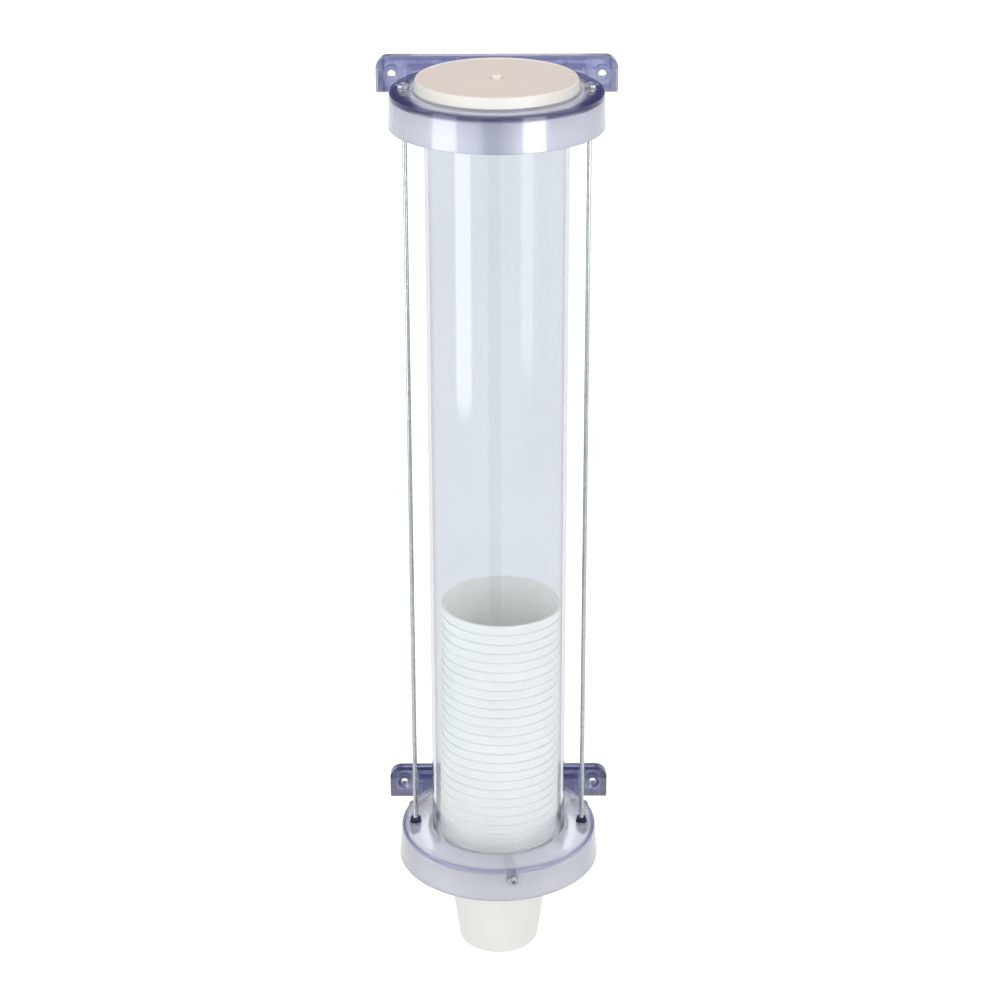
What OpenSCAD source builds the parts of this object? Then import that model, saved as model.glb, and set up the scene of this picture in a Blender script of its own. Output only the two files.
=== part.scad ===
// Wall-mounted cup dispenser: a clear tube clamped between two wall brackets by
// two tie rods, with a lift-off cap above and a column of nested cups inside.
// Millimetres, +Z up, front towards -Y. The origin is the centre of the four
// wall-screw holes, on the wall plane.

/* [Cups] */
// Outside diameter of a cup's rolled rim
cup_rim_d = 71; // [66:0.5:80]
// Diameter of a cup's foot
cup_base_d = 48.6; // [40:0.2:52]
// Height of one cup
cup_h = 79.6; // [66:0.2:100]
// Wall of a cup
cup_wall = 0.45; // [0.35:0.05:0.5]
// Height of the rolled rim
rim_h = 2.8; // [2:0.1:3.6]
// How far the rolled rim stands out from the wall
rim_lip = 1.1; // [0.9:0.1:1.4]
// How far each nested cup stands above the one below it
cup_pitch = 6; // [5.6:0.1:9]
// Step in the wall that holds nested cups apart
nest_step = 1; // [0.9:0.05:1.2]
// Round between a cup's wall and its foot
foot_r = 3; // [2:0.2:4]
// Width of the ring that the cup stands on
foot_ring_w = 1.6; // [1:0.1:2.4]
// Rise of the floor inside the foot ring
floor_rise = 0.9; // [0.6:0.1:1.4]
// Cups in the column, the lowest one included
cups_loaded = 26; // [3:1:30]
// Gap left to the tube's bore where the top cup leans to the right
lean_gap = 0.4; // [0.3:0.1:1]

/* [Tube] */
// Gap between the cups' rims and the tube's bore
bore_gap = 2.5; // [1.5:0.1:4]
// Wall of the clear tube
tube_wall = 2; // [1.5:0.1:3]
// Length of the clear tube
tube_len = 455.8; // [330:0.2:700]
// Gap round the tube in its sockets
tube_fit = 0.2; // [0.1:0.05:0.4]

/* [Rings] */
// Width of a ring's deck outside the tube
ring_reach = 18.8; // [17:0.2:26]
// Height of a ring
ring_h = 19.8; // [18:0.2:30]
// How much wider the upper ring's skirt is at its lower edge
upper_flare = 0.7; // [0.2:0.1:2]
// How much wider the lower ring's skirt is at its lower edge
lower_flare = 1.8; // [0.2:0.1:3]
// Wall of the skirts and necks
skirt_wall = 2.4; // [1.8:0.1:3]
// Thickness of the decks
deck_t = 2.8; // [2.2:0.1:4]
// Round along the decks' outer edges
edge_r = 0.8; // [0.4:0.1:1.4]
// Wall of the sockets round the tube
socket_wall = 2.6; // [2:0.1:3.4]
// Depth of the upper socket below its deck
upper_socket_h = 12; // [6:0.5:15]
// Depth of the seat that the tube stands in
seat_depth = 2.6; // [2:0.1:3]
// Gap between the cups' rims and the throat under the tube
throat_gap = 1.3; // [1:0.1:2]
// Wall of the throat below its seat
throat_wall = 2.4; // [1.8:0.1:3]
// Flare at the throat's mouth
throat_flare = 1; // [0.4:0.1:1.8]
// Height of that flare
throat_lead = 3; // [2:0.1:4]
// Height of the collar that the cap stands on
collar_h = 0.9; // [0.5:0.1:1.5]
// How far the collar reaches past the cap
collar_reach = 1.1; // [0.5:0.1:1.4]
// Wall round the rods' holes
boss_wall = 1.9; // [1.4:0.1:2.1]
// Depth of the rods' bosses below the decks
boss_h = 3; // [2:0.5:8]

/* [Wall plates] */
// Width of a wall plate
plate_w = 137; // [132:0.5:170]
// Height of a wall plate
plate_h = 21; // [18:0.5:30]
// How far a plate rises above its ring
plate_rise = 4.2; // [2:0.1:8]
// Depth of a plate from the wall to its front
plate_depth = 6; // [5:0.1:10]
// Wall of a plate's front, top and bottom
plate_wall = 2.6; // [2:0.1:3]
// Wall of a plate's ends
plate_end = 4.6; // [3:0.1:6]
// Radius of the plates' upper corners
plate_top_r = 7.3; // [4:0.1:9]
// Radius of the plates' lower corners
plate_low_r = 1.9; // [1.7:0.1:4]
// Round along the plates' front edges
plate_edge_r = 1.6; // [0.8:0.1:1.7]
// Width of the neck between a ring and its plate
neck_w = 100; // [84:1:103]
// Gap between the widest ring and the wall
wall_gap = 3.4; // [2:0.1:4.4]
// Distance of a wall screw from the plate's end
screw_inset = 9; // [7.4:0.1:12]
// Diameter of a wall-screw hole
screw_hole_d = 4.5; // [3.5:0.1:5]
// Width of a countersink round its hole
sink_w = 1.8; // [1:0.1:2]
// Depth of the countersinks
sink_depth = 1.6; // [1:0.1:2]

/* [Tie rods] */
// Distance of each rod's axis outside the tube
rod_reach = 10.6; // [9.4:0.1:13]
// Diameter of a rod's threaded ends
rod_thread_d = 3; // [2.5:0.1:3.4]
// Diameter of a rod between its threads
rod_shank_d = 2.6; // [2:0.1:3]
// Length of each thread
thread_len = 18; // [12:1:30]
// Clearance round a rod in the decks' holes
rod_clear = 0.1; // [0.05:0.05:0.3]
// Clearance round a rod in its nuts
nut_clear = 0.03; // [0.01:0.01:0.05]
// Width of a nut across its flats
nut_af = 5.5; // [5:0.1:6]
// Height of a nut
nut_h = 2.4; // [1.8:0.1:3]
// Diameter of a washer
washer_d = 7; // [6.4:0.1:7.6]
// Thickness of a washer
washer_t = 0.5; // [0.4:0.1:1]
// How far a rod stands out of its end nuts
rod_stub = 1.2; // [0.4:0.1:4]

/* [Cup grips] */
// Azimuths of the adjusting screws, from the front towards +X
grip_azimuths = [8, 118, 242];
// Depth of the screws' axes below the lower deck's face
grip_drop = 5.8; // [5.6:0.1:7]
// How far the soft tips reach under the lowest cup's rim
grip_bite = 0.75; // [0.4:0.05:0.75]
// Gap between the lowest rim and the soft tips
rest_gap = 0.3; // [0.2:0.05:0.6]
// Diameter of a soft tip
tip_d = 4; // [3.6:0.1:4.2]
// Length of a soft tip
tip_len = 5; // [4.5:0.1:6]
// Length of the bevel on a soft tip's nose
tip_bevel = 0.5; // [0.2:0.1:0.8]
// Gap round a soft tip in its bore
tip_gap = 0.3; // [0.2:0.05:0.4]
// How far a tip draws back
tip_travel = 2.8; // [2:0.1:3]
// Diameter of an adjusting screw
grip_screw_d = 3; // [2.5:0.1:3.2]
// Clearance round a screw in its tip and its insert
spin_gap = 0.05; // [0.03:0.01:0.1]
// Length of the screw's end inside its tip
screw_hold = 3.2; // [2:0.1:3.4]
// Diameter of a screw's head
head_d = 6; // [5:0.1:6.4]
// Height of a screw's head
head_h = 2.2; // [1.6:0.1:3]
// Across the hexagon recess in a screw's head
hex_af = 2; // [1.5:0.1:2.5]
// Depth of the hexagon recess
hex_depth = 1.2; // [0.8:0.1:1.5]
// Outside diameter of a threaded insert
insert_d = 4.6; // [4.2:0.1:4.8]
// Length of a threaded insert
insert_len = 7; // [4:0.1:8]
// Clearance round an insert in its boss
insert_fit = 0.02; // [0.01:0.01:0.05]
// Outside diameter of a screw's boss
grip_boss_d = 8; // [7.6:0.1:9]
// Height of the flat under a screw's head
spot_h = 0.5; // [0.3:0.1:1]

/* [Cap] */
// Width of the cap's rest outside the tube's bore
cap_reach = 7; // [4:0.1:8]
// Height of the cap above its collar
cap_h = 6.1; // [4:0.1:10]
// Thickness of the cap's skin
cap_wall = 2.2; // [1.6:0.1:3]
// Taper of the cap's side
cap_taper = 0.5; // [0:0.1:1.5]
// Round along the cap's top edge
cap_edge_r = 1.1; // [0.6:0.1:1.6]
// Width of the raised rim round the cap's dished top
cap_rim_w = 1.6; // [1:0.1:4]
// Depth of the dish at its edge
dish_depth = 0.5; // [0.2:0.1:1]
// Diameter of the pip at the middle of the cap
pip_d = 5.4; // [2:0.1:6]
// Diameter of the pip's flat top
pip_top_d = 3.4; // [1:0.1:5]
// Height of the pip above the floor of its dimple
pip_h = 2.8; // [0.8:0.1:4]
// Diameter of the dimple round the pip
dimple_d = 9; // [7:0.5:14]
// Depth of the dimple
dimple_depth = 0.5; // [0.2:0.1:1]
// Gap between the cap's plug and the tube's bore
plug_gap = 0.5; // [0.3:0.1:1]
// Wall of the plug
plug_wall = 2; // [1.4:0.1:3]
// Depth of the plug below the cap's rest
plug_h = 12; // [6:0.5:20]

/* [Hidden] */
$fn = 96;
bit = 0.01;
run_out = 1;
rim_r = cup_rim_d / 2;
wall_r = rim_r - rim_lip;
mouth_r = wall_r - cup_wall;
under_r = wall_r - nest_step;
base_r = cup_base_d / 2;
rim_round = rim_lip / 2;
ledge_z = cup_h - cup_pitch;
wall_lean = atan2(under_r - base_r, ledge_z - foot_r);
bore_r = rim_r + bore_gap;
tube_r = bore_r + tube_wall;
socket_r = tube_r + tube_fit;
throat_r = rim_r + throat_gap;
ring_r = tube_r + ring_reach;
rod_x = tube_r + rod_reach;
collar_r = bore_r + cap_reach + collar_reach;
axis_y = -(ring_r + max(upper_flare, lower_flare) + wall_gap);
hole_x = plate_w / 2 - screw_inset;
hole_pitch = tube_len + deck_t - seat_depth;
plate_drop = plate_h - plate_rise;
upper_top = hole_pitch / 2 - plate_rise + plate_h / 2;
lower_top = upper_top - hole_pitch;
tube_z = lower_top - seat_depth;
grip_z = lower_top - grip_drop;
tip_nose_r = rim_r - grip_bite;
rim_rest_z = grip_z + tip_d / 2 + rest_gap;
top_shift = bore_gap - lean_gap;
lowest_z = rim_rest_z + rim_h - cup_h;
seat_face_r = ring_r + lower_flare * (grip_drop + head_d / 2) / ring_h + spot_h;
tip_end_r = tip_nose_r + tip_len;
tip_bore_end_r = tip_end_r + tip_travel + tip_gap;
rod_top_z = upper_top + washer_t + nut_h + rod_stub;
rod_low_z = lower_top - deck_t - boss_h - washer_t - nut_h - rod_stub;

function two_digits(n) = str(n < 10 ? "0" : "", n);
function cup_name(n) = str("cup_", two_digits(n));
function insert_name(n) = str("thread_insert_", n);
function screw_name(n) = str("grip_screw_", n);
function tip_name(n) = str("grip_tip_", n);
grips = [for (n = [1:len(grip_azimuths)]) n];
cups = [for (n = [1:cups_loaded]) n];

// Points of an arc of radius r round [x, y], from angle a to angle b
function arc(x, y, r, a, b, steps = 6) =
    [for (i = [0:steps]) let (t = a + (b - a) * i / steps) [x + r * cos(t), y + r * sin(t)]];

// Places its children on the tube's axis at height z
module on_axis(z = 0) {
    translate([0, axis_y, z]) children();
}

// Turns its children from the front to an azimuth round the tube's axis
module at_azimuth(a) {
    on_axis(grip_z) rotate([0, 0, a]) children();
}

// A rod along a radius, between two distances from the tube's axis
module radial_rod(from, to, r) {
    translate([0, -from, 0]) rotate([90, 0, 0]) cylinder(h = to - from, r = r);
}

// Places its children at both tie rods
module at_rods(z) {
    for (side = [-1, 1]) on_axis(z) translate([side * rod_x, 0, 0]) children();
}

// The outer side of a ring: its rounded edge, flared skirt and inner face
function skirt_points(flare) = concat(
    arc(ring_r - edge_r, -edge_r, edge_r, 90, 0),
    arc(ring_r + flare - edge_r / 2, -ring_h + edge_r / 2, edge_r / 2, 0, -90, 4),
    [
        [ring_r + flare - skirt_wall, -ring_h],
        [ring_r - skirt_wall, -deck_t]
    ]
);

// Section of the upper ring, with the lip that the tube butts against
upper_ring_profile = concat(
    skirt_points(upper_flare),
    [
        [socket_r + socket_wall, -deck_t],
        [socket_r + socket_wall, -deck_t - upper_socket_h],
        [socket_r, -deck_t - upper_socket_h],
        [socket_r, -deck_t],
        [bore_r, -deck_t],
        [bore_r, collar_h],
        [collar_r - edge_r / 2, collar_h],
        [collar_r, collar_h - edge_r / 2],
        [collar_r, 0]
    ]
);

// Section of the lower ring, with the tube's seat and the cups' throat
lower_ring_profile = concat(
    skirt_points(lower_flare),
    [
        [socket_r + socket_wall, -deck_t],
        [socket_r + socket_wall, -grip_drop - tip_d / 2 - tip_gap],
        [throat_r + throat_wall, -grip_drop - grip_boss_d / 2 - socket_wall],
        [throat_r + throat_wall + throat_flare, -ring_h],
        [throat_r + throat_flare, -ring_h],
        [throat_r, -ring_h + throat_lead],
        [throat_r, -seat_depth],
        [socket_r, -seat_depth],
        [socket_r, 0]
    ]
);

// A solid cone that ends half way through a ring's skirt
module inside_ring(flare) {
    on_axis(-ring_h - bit)
        cylinder(h = ring_h + 2 * bit, r1 = ring_r + flare - skirt_wall / 2, r2 = ring_r - skirt_wall / 2);
}

// The hollow neck that joins a ring to its wall plate
module neck(flare) {
    back_y = -plate_depth + plate_wall / 2;
    difference() {
        translate([-neck_w / 2, axis_y, -plate_drop]) cube([neck_w, back_y - axis_y, plate_drop]);
        translate([-neck_w / 2 + skirt_wall, axis_y, -plate_drop - bit])
            cube([neck_w - 2 * skirt_wall, -axis_y - plate_depth, plate_drop - deck_t + bit]);
        inside_ring(flare);
    }
}

// A plate's outline in X and Z, drawn in by a margin, with its ends drawn in further
module plate_outline(margin = 0, end = 0) {
    half_w = plate_w / 2 - end;
    top_z = plate_rise - margin;
    low_z = -plate_drop + margin;
    top_r = max(plate_top_r - margin, bit);
    low_r = max(plate_low_r - margin, bit);
    polygon(concat(
        arc(half_w - top_r, top_z - top_r, top_r, 0, 90, 12),
        arc(-half_w + top_r, top_z - top_r, top_r, 90, 180, 12),
        arc(-half_w + low_r, low_z + low_r, low_r, 180, 270),
        arc(half_w - low_r, low_z + low_r, low_r, 270, 360)
    ));
}

// A plate's solid: its outline, rounded along the front edges
module plate_block() {
    r = plate_edge_r;
    intersection() {
        rotate([90, 0, 0]) linear_extrude(plate_depth) plate_outline();
        translate([0, 0, -plate_drop]) linear_extrude(plate_h)
            polygon(concat(
                [[plate_w / 2, 0], [-plate_w / 2, 0]],
                arc(-plate_w / 2 + r, -plate_depth + r, r, 180, 270),
                arc(plate_w / 2 - r, -plate_depth + r, r, 270, 360)
            ));
        translate([-plate_w / 2, 0, 0]) rotate([90, 0, 90]) linear_extrude(plate_w)
            polygon(concat(
                [[0, -plate_drop], [0, plate_rise]],
                arc(-plate_depth + r, plate_rise - r, r, 90, 180),
                arc(-plate_depth + r, -plate_drop + r, r, 180, 270)
            ));
    }
}

// A wall plate: a shell open to the wall, with a boss round each screw hole
module wall_plate() {
    centre_z = plate_rise - plate_h / 2;
    boss_r = screw_hole_d / 2 + plate_wall;
    difference() {
        union() {
            difference() {
                plate_block();
                translate([0, bit, 0]) rotate([90, 0, 0])
                    linear_extrude(plate_depth - plate_wall + bit) plate_outline(plate_wall, plate_end);
            }
            for (side = [-1, 1])
                translate([side * hole_x, 0, centre_z]) rotate([90, 0, 0])
                    cylinder(h = plate_depth - plate_wall / 2, r = boss_r);
        }
        for (side = [-1, 1]) translate([side * hole_x, 0, centre_z]) {
            translate([0, bit, 0]) rotate([90, 0, 0]) cylinder(h = plate_depth + 2 * bit, d = screw_hole_d);
            translate([0, -plate_depth + sink_depth, 0]) rotate([90, 0, 0])
                cylinder(h = sink_depth + bit, d1 = screw_hole_d, d2 = screw_hole_d + 2 * sink_w);
        }
    }
}

// What the two brackets share: neck, plate and the bosses under the rods' holes
module bracket_back(flare) {
    neck(flare);
    wall_plate();
    at_rods(-deck_t - boss_h) cylinder(h = boss_h + bit, r = rod_thread_d / 2 + rod_clear + boss_wall);
}

// The holes that the rods pass through
module rod_holes() {
    at_rods(-ring_h) cylinder(h = 2 * ring_h, r = rod_thread_d / 2 + rod_clear);
}

module upper_bracket() {
    color([0.62, 0.64, 0.86, 0.6]) translate([0, 0, upper_top]) difference() {
        union() {
            on_axis() rotate_extrude() polygon(upper_ring_profile);
            bracket_back(upper_flare);
        }
        rod_holes();
    }
}

// The boss that carries one adjusting screw through the skirt
module grip_boss() {
    radial_rod(socket_r, seat_face_r, grip_boss_d / 2);
}

// The stepped bore through a boss: soft tip, insert, then the screw's own clearance
module grip_bore() {
    insert_end = seat_face_r - spot_h - skirt_wall;
    radial_rod(throat_r - run_out, tip_bore_end_r, tip_d / 2 + tip_gap);
    radial_rod(tip_bore_end_r - bit, insert_end - insert_len, grip_screw_d / 2 + tip_gap);
    radial_rod(insert_end - insert_len - bit, insert_end, insert_d / 2 + insert_fit);
    radial_rod(insert_end - bit, seat_face_r + run_out, grip_screw_d / 2 + tip_gap);
}

module lower_bracket() {
    color([0.66, 0.67, 0.86, 0.6]) difference() {
        union() {
            translate([0, 0, lower_top]) {
                on_axis() rotate_extrude() polygon(lower_ring_profile);
                bracket_back(lower_flare);
            }
            for (a = grip_azimuths) at_azimuth(a) grip_boss();
        }
        translate([0, 0, lower_top]) rod_holes();
        for (a = grip_azimuths) at_azimuth(a) grip_bore();
    }
}

module tube() {
    color([0.88, 0.89, 0.93, 0.35]) on_axis(tube_z) difference() {
        cylinder(h = tube_len, r = tube_r);
        translate([0, 0, -bit]) cylinder(h = tube_len + 2 * bit, r = bore_r);
    }
}

// Half of the cap's section, from the middle of its top round to the plug
module cap_section() {
    outer_r = bore_r + cap_reach;
    top_r = outer_r - cap_taper;
    dish_r = top_r - cap_rim_w;
    skin_z = cap_h - dish_depth - cap_wall;
    plug_r = bore_r - plug_gap;
    polygon(concat(
        [
            [0, cap_h - dish_depth],
            [dish_r - dish_depth, cap_h - dish_depth],
            [dish_r, cap_h]
        ],
        arc(top_r - cap_edge_r, cap_h - cap_edge_r, cap_edge_r, 90, 0),
        [
            [outer_r, 0],
            [plug_r, 0],
            [plug_r - plug_gap, -plug_h],
            [plug_r - plug_wall, -plug_h],
            [plug_r - plug_wall, skin_z],
            [0, skin_z]
        ]
    ));
}

// Half of the pip's section: an upright side under a rounded edge
module pip_section() {
    edge_r = (pip_d - pip_top_d) / 2;
    polygon(concat(
        [[0, 0], [pip_d / 2, 0]],
        arc(pip_top_d / 2, pip_h - edge_r, edge_r, 0, 90),
        [[0, pip_h]]
    ));
}

// The cap: its plug hangs in the tube, and a pip stands in a dimple at the middle
module cap() {
    dish_z = cap_h - dish_depth;
    pip_z = dish_z - dimple_depth;
    dimple_run = (dimple_d - pip_d) / 2 / dimple_depth;
    color([0.93, 0.83, 0.76]) on_axis(upper_top + collar_h) {
        difference() {
            rotate_extrude() cap_section();
            translate([0, 0, pip_z])
                cylinder(h = dimple_depth + bit, r1 = pip_d / 2, r2 = dimple_d / 2 + bit * dimple_run);
        }
        translate([0, 0, pip_z]) rotate_extrude() pip_section();
    }
}

// A tie rod: a plain shank between two threaded ends
module tie_rod(side) {
    rod_len = rod_top_z - rod_low_z;
    color([0.72, 0.75, 0.72]) on_axis(rod_low_z) translate([side * rod_x, 0, 0]) {
        cylinder(h = thread_len, d = rod_thread_d);
        translate([0, 0, thread_len - bit]) cylinder(h = rod_len - 2 * thread_len + 2 * bit, d = rod_shank_d);
        translate([0, 0, rod_len - thread_len]) cylinder(h = thread_len, d = rod_thread_d);
    }
}

module tie_rod_left() {
    tie_rod(-1);
}

module tie_rod_right() {
    tie_rod(1);
}

// A hexagon nut, bevelled at both faces, with its underside at z = 0
module hex_nut() {
    corner_r = nut_af / sqrt(3);
    bevel = corner_r - nut_af / 2;
    difference() {
        intersection() {
            cylinder(h = nut_h, r = corner_r, $fn = 6);
            rotate_extrude() polygon([
                [0, 0], [nut_af / 2, 0], [corner_r, bevel / 2],
                [corner_r, nut_h - bevel / 2], [nut_af / 2, nut_h], [0, nut_h]
            ]);
        }
        translate([0, 0, -bit]) cylinder(h = nut_h + 2 * bit, r = rod_thread_d / 2 + nut_clear);
    }
}

// A plain washer with its underside at z = 0
module washer() {
    difference() {
        cylinder(h = washer_t, d = washer_d);
        translate([0, 0, -bit]) cylinder(h = washer_t + 2 * bit, r = rod_thread_d / 2 + rod_clear);
    }
}

module top_washers() {
    color("silver") at_rods(upper_top) washer();
}

module top_nuts() {
    color("silver") at_rods(upper_top + washer_t) hex_nut();
}

module lock_washers() {
    color("gray") at_rods(lower_top) washer();
}

module lock_nuts() {
    color("gray") at_rods(lower_top + washer_t) hex_nut();
}

module bottom_washers() {
    color("gray") at_rods(lower_top - deck_t - boss_h - washer_t) washer();
}

module bottom_nuts() {
    color("gray") at_rods(lower_top - deck_t - boss_h - washer_t - nut_h) hex_nut();
}

// A threaded insert, seated under the skirt
module thread_insert(n) {
    end = seat_face_r - spot_h - skirt_wall;
    color([0.75, 0.6, 0.3]) at_azimuth(grip_azimuths[n - 1]) difference() {
        radial_rod(end - insert_len, end, insert_d / 2);
        radial_rod(end - insert_len - run_out, end + run_out, grip_screw_d / 2 + spin_gap);
    }
}

// An adjusting screw: its end turns in the soft tip, its domed head has a hexagon recess
module grip_screw(n) {
    color("silver") at_azimuth(grip_azimuths[n - 1]) difference() {
        union() {
            radial_rod(tip_end_r - screw_hold, seat_face_r + bit, grip_screw_d / 2);
            translate([0, -seat_face_r, 0]) rotate([90, 0, 0]) rotate_extrude() polygon(concat(
                [[0, 0], [head_d / 2, 0]],
                arc(head_d / 2 - head_h / 2, head_h / 2, head_h / 2, 0, 90),
                [[0, head_h]]
            ));
        }
        translate([0, -seat_face_r - head_h + hex_depth, 0]) rotate([90, 0, 0])
            cylinder(h = hex_depth + bit, r = hex_af / sqrt(3), $fn = 6);
    }
}

// A soft tip: the lowest cup's rim stands on its bevelled nose
module grip_tip(n) {
    color([0.9, 0.9, 0.88]) at_azimuth(grip_azimuths[n - 1]) difference() {
        union() {
            translate([0, -tip_nose_r, 0]) rotate([90, 0, 0])
                cylinder(h = tip_bevel, r1 = tip_d / 2 - tip_bevel, r2 = tip_d / 2);
            radial_rod(tip_nose_r + tip_bevel, tip_end_r, tip_d / 2);
        }
        radial_rod(tip_end_r - screw_hold - spin_gap, tip_end_r + run_out, grip_screw_d / 2 + spin_gap);
    }
}

// Outside of a cup, from its axis out along the floor and up the wall to the rim
function cup_outside() = concat(
    [
        [0, floor_rise],
        [base_r - foot_r - foot_ring_w, floor_rise],
        [base_r - foot_r - foot_ring_w + floor_rise, 0]
    ],
    arc(base_r - foot_r, foot_r, foot_r, 270, 360 - wall_lean),
    [
        [under_r, ledge_z],
        [wall_r, ledge_z],
        [wall_r, cup_h - rim_h],
        [rim_r - rim_round, cup_h - rim_h]
    ],
    arc(rim_r - rim_round, cup_h - rim_h + rim_round, rim_round, 270, 360, 4),
    arc(rim_r - rim_round, cup_h - rim_round, rim_round, 0, 90, 4),
    arc(mouth_r + rim_round / 2, cup_h - rim_round / 2, rim_round / 2, 90, 180, 4)
);

// Inside of a cup, from under the rim down the wall and in along the floor
function cup_inside() = concat(
    [
        [mouth_r, ledge_z + cup_wall],
        [under_r - cup_wall, ledge_z + cup_wall]
    ],
    arc(base_r - foot_r, foot_r, foot_r - cup_wall, 360 - wall_lean, 270),
    [
        [base_r - foot_r - foot_ring_w + floor_rise, cup_wall],
        [base_r - foot_r - foot_ring_w, floor_rise + cup_wall],
        [0, floor_rise + cup_wall]
    ]
);

// Cup n of the column, counted from the lowest, which hangs in the middle
module cup(n) {
    shift = top_shift * (n - 1) / max(cups_loaded - 1, 1);
    color([0.97, 0.97, 0.97]) on_axis(lowest_z + (n - 1) * cup_pitch) translate([shift, 0, 0])
        rotate_extrude() polygon(concat(cup_outside(), cup_inside()));
}

upper_bracket();
lower_bracket();
tube();
cap();
tie_rod_left();
tie_rod_right();
top_washers();
top_nuts();
lock_washers();
lock_nuts();
bottom_washers();
bottom_nuts();
for (n = grips) thread_insert(n);
for (n = grips) grip_screw(n);
for (n = grips) grip_tip(n);
for (n = cups) cup(n);
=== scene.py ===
"""Wall-mounted cup dispenser: finishes its solids, adds the fine pieces and lights the set.

The dispenser's own lengths are in millimetres, and are turned to metres where a mesh or a mask
is made. The set's lengths are in metres.
"""

import logging
import math
from dataclasses import dataclass, field
from enum import Enum
from functools import reduce
from typing import Callable, Sequence

import bpy
from mathutils import Matrix, Vector

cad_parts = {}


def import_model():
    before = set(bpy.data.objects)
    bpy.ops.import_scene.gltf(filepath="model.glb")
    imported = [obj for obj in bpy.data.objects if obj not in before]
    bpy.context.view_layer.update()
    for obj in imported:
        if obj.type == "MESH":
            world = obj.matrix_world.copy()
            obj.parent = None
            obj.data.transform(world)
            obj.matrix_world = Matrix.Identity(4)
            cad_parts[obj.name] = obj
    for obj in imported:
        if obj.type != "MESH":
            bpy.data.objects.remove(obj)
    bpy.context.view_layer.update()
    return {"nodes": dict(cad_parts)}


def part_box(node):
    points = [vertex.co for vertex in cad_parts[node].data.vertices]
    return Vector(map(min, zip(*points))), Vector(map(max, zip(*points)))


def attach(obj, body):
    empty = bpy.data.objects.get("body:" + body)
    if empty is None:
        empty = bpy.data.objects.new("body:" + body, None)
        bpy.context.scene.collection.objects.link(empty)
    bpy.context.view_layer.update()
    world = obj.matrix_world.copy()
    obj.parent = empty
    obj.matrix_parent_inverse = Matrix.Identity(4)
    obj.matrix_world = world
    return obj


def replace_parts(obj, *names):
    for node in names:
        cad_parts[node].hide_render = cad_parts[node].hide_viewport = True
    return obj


MM = 0.001
# The tube's axis stands this far in front of the wall, and the rods this far from it.
AXIS_Y = -64.0
ROD_X = 50.6
# Edges sharper than this stay sharp.
SHARP_EDGE = math.radians(32)
# Parts a ray that hasn't bounced yet from one that has.
FIRST_BOUNCE = 0.5
WHITE = (1.0, 1.0, 1.0)

log = logging.getLogger("cup_dispenser")

Mesh = bpy.types.Mesh
Object = bpy.types.Object
Material = bpy.types.Material
Tree = bpy.types.NodeTree
Node = bpy.types.Node
Socket = bpy.types.NodeSocket
Nodes = dict[str, Object]
Colour = tuple[float, float, float]
Value = Socket | float | Colour
Ring = list[tuple[float, float, float]]
Span = tuple[float, float]
Length = float | Callable[[float], float]


def srgb(*levels: float) -> Colour:
    """Turn red, green and blue from 0 to 255, as the eye names them, into linear light."""
    parts = [level / 255.0 for level in levels]
    return tuple(part / 12.92 if part <= 0.04045 else ((part + 0.055) / 1.055) ** 2.4 for part in parts)


def dimmed(colour: Colour, share: float) -> Colour:
    """The colour with a share of its light."""
    return tuple(part * share for part in colour)


class Side(Enum):
    """The two tie rods, seen from the front."""

    LEFT = -1
    RIGHT = 1


class Role(Enum):
    """What a panel of light is there for."""

    GLEAM = "reflections"
    FILL = "soft light"


class Grain(Enum):
    """How a finish was worked, as the stretch of its grain along X, Y and Z."""

    PLAIN = (1.0, 1.0, 1.0)
    DRAWN = (1.0, 1.0, 0.04)
    TURNED = (0.2, 0.2, 1.0)
    EXTRUDED = (1.0, 1.0, 0.015)


# Meshes


def build_mesh(name: str, rings: Sequence[Ring], closed: bool = False) -> Mesh:
    """Skin a row of rings that all have the same number of points.

    Args:
        name: Name of the mesh.
        rings: Rings of points in millimetres, in order.
        closed: Whether the last ring joins the first, or both are filled with a fan.

    Returns:
        The mesh in metres, smooth with sharp edges kept.
    """
    count = len(rings[0])
    points = [(x * MM, y * MM, z * MM) for ring in rings for x, y, z in ring]
    faces: list[tuple[int, ...]] = []
    rows = len(rings) if closed else len(rings) - 1
    for row in range(rows):
        low = row * count
        high = ((row + 1) % len(rings)) * count
        for step in range(count):
            after = (step + 1) % count
            faces.append((low + step, low + after, high + after, high + step))
    for ring, turn in () if closed else ((0, -1), (len(rings) - 1, 1)):
        middle = Vector((0.0, 0.0, 0.0))
        for point in rings[ring]:
            middle += Vector(point) * MM / count
        points.append(tuple(middle))
        for step in range(count):
            pair = (ring * count + step, ring * count + (step + 1) % count)
            faces.append((*pair[::turn], len(points) - 1))
    mesh = bpy.data.meshes.new(name)
    mesh.from_pydata(points, [], faces)
    mesh.update()
    mesh.polygons.foreach_set("use_smooth", [True] * len(mesh.polygons))
    mesh.set_sharp_from_angle(angle=SHARP_EDGE)
    return mesh


def circle(radius: Length, height: Length, steps: int) -> Ring:
    """One ring round local Z whose radius and height may change with the angle.

    Args:
        radius: Radius, or a function of the angle that gives it.
        height: Height, or a function of the angle that gives it.
        steps: Number of points.

    Returns:
        The ring's points.
    """
    ring: Ring = []
    for step in range(steps):
        angle = math.tau * step / steps
        r = radius(angle) if callable(radius) else radius
        z = height(angle) if callable(height) else height
        ring.append((r * math.cos(angle), r * math.sin(angle), z))
    return ring


def turned(profile: Sequence[tuple[Length, Length]], steps: int) -> list[Ring]:
    """Rings for a profile of radii and heights."""
    return [circle(radius, height, steps) for radius, height in profile]


def hexagon(across: float) -> Callable[[float], float]:
    """Radius of a hexagon as a function of the angle, with a corner at angle 0."""
    return lambda angle: across / 2 / math.cos(angle % (math.pi / 3) - math.pi / 6)


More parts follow.
